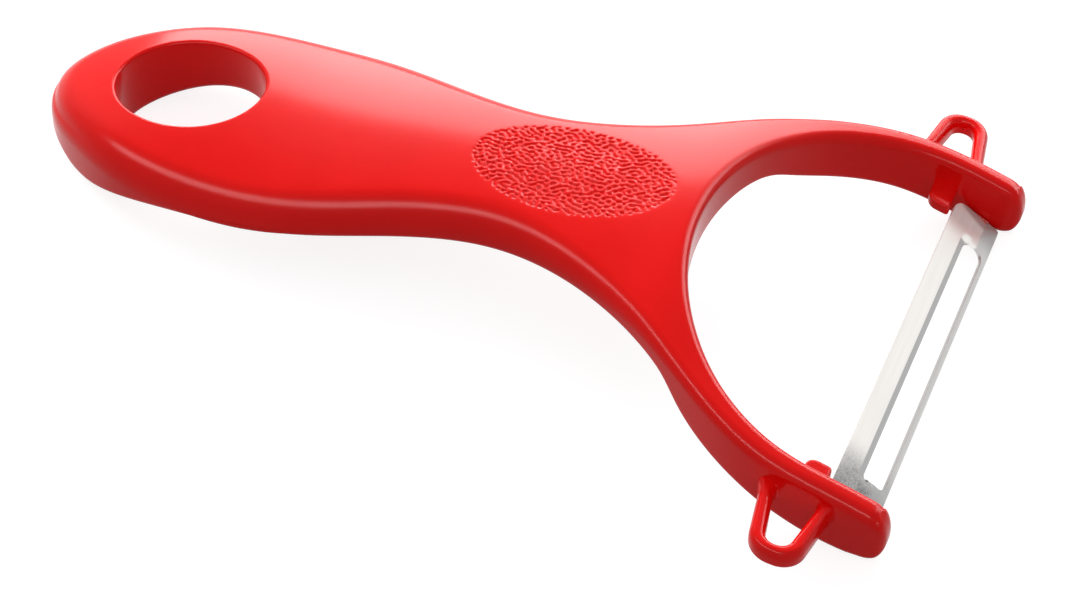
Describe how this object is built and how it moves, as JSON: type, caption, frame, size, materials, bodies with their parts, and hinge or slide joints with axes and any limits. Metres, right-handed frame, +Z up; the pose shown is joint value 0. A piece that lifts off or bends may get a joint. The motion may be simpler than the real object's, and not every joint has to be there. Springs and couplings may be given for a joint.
{
  "type": "vegetable peeler",
  "caption": "Y-shaped vegetable peeler: moulded handle with a hang hole, thumb rest, forked arms and eye-remover loops, holding a slotted swivel blade.",
  "frame": {"origin": "middle of the footprint on the surface the peeler lies on", "axes": "+X from the hang end to the blade, +Y across the handle along the blade's pivot axis, +Z up, away from the surface the peeler lies on"},
  "size_m": [0.116, 0.076, 0.0159],
  "materials": {
    "handle_plastic": "glossy moulded red plastic, finely wrinkled on the thumb rest",
    "blade_steel": "brushed stainless steel with a ground cutting bevel"
  },
  "bodies": {
    "handle": {"handle": "handle_plastic"},
    "blade": {"blade": "blade_steel"}
  },
  "joints": [
    {"name": "blade_swivel", "type": "hinge", "parent": "handle", "child": "blade", "pos_m": [0.053, 0, 0.0026], "axis": [0, 1, 0], "range_deg": [-20, 60]}
  ]
}
